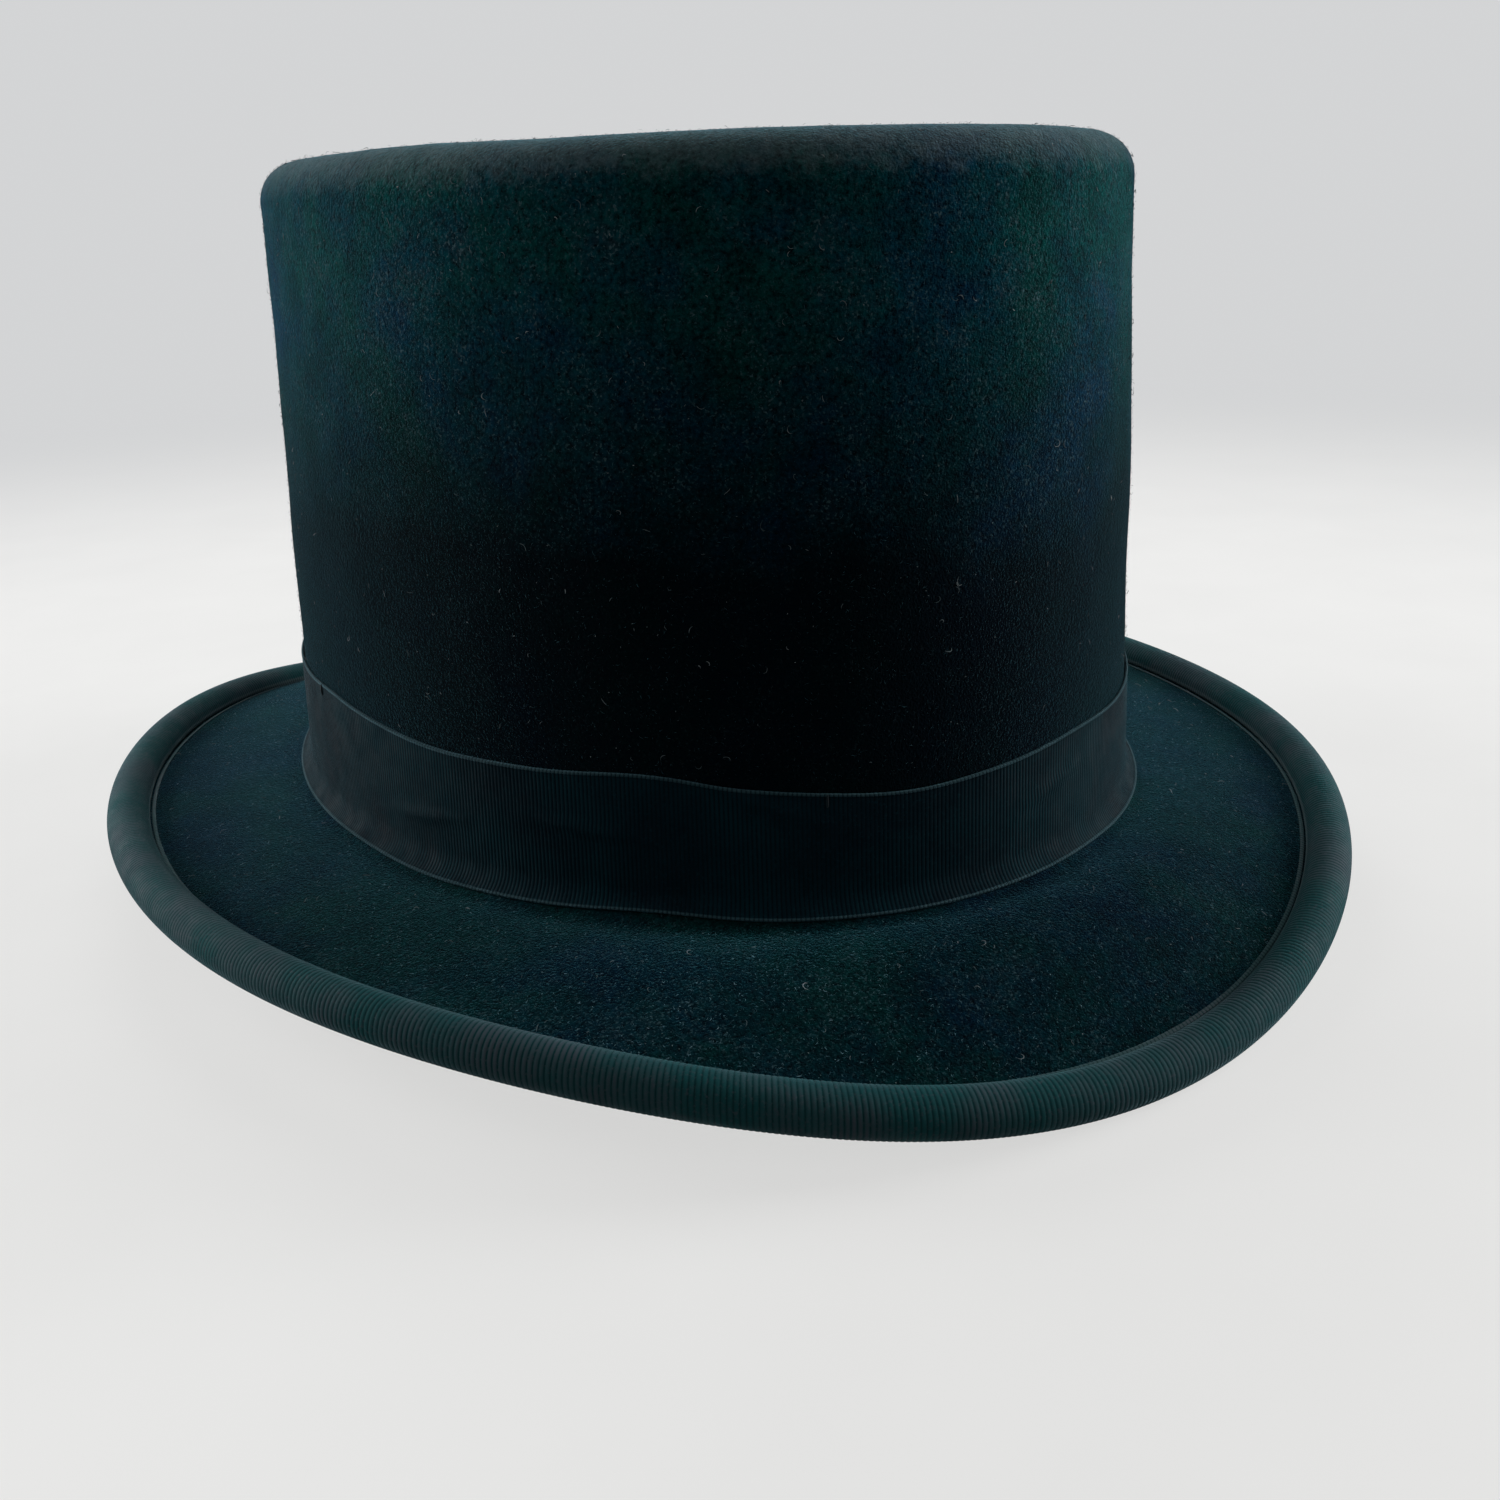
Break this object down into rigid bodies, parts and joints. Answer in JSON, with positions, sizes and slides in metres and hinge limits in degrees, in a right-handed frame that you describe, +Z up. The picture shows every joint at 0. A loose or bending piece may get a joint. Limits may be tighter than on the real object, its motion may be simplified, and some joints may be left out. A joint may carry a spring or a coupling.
{
  "type": "top hat",
  "caption": "Black felt top hat with a tapered stiff body, grosgrain band, flat bow and a pencil-curled, bound brim that dips at front and back.",
  "frame": {"origin": "centre of the hat on the surface that it stands on, at the height of the front and back dips of the brim", "axes": "+Z up through the tip, -Y towards the front of the hat, +X towards the wearer's left, where the bow is"},
  "size_m": [0.257, 0.2948, 0.1435],
  "materials": {
    "felt": "brushed fur felt with a short nap",
    "band_ribbon": "ribbed grosgrain",
    "binding_ribbon": "ribbed grosgrain, slightly faded",
    "leather": "smooth, lightly grained",
    "reed": "smooth cord",
    "tape": "fine ribbed tape",
    "pale_thread": "twisted cotton thread",
    "dark_thread": "twisted cotton thread",
    "satin": "satin",
    "piping": "satin-covered cord",
    "ticket": "plain woven ticket, blank"
  },
  "bodies": {
    "root": {"felt_body": "felt", "hatband": "band_ribbon", "brim_binding": "binding_ribbon", "bow_lower_loops": "band_ribbon", "bow_upper_loops": "band_ribbon", "bow_knot": "band_ribbon", "sweatband": "leather", "sweatband_reed": "reed", "reed_tape": "tape", "sweatband_stitches": "pale_thread", "sweatband_back_bow": "tape", "lining_side": "satin", "lining_tip": "satin", "lining_piping": "piping", "binding_stitches": "dark_thread", "hatband_tacks": "dark_thread", "size_ticket": "ticket"}
  },
  "joints": []
}
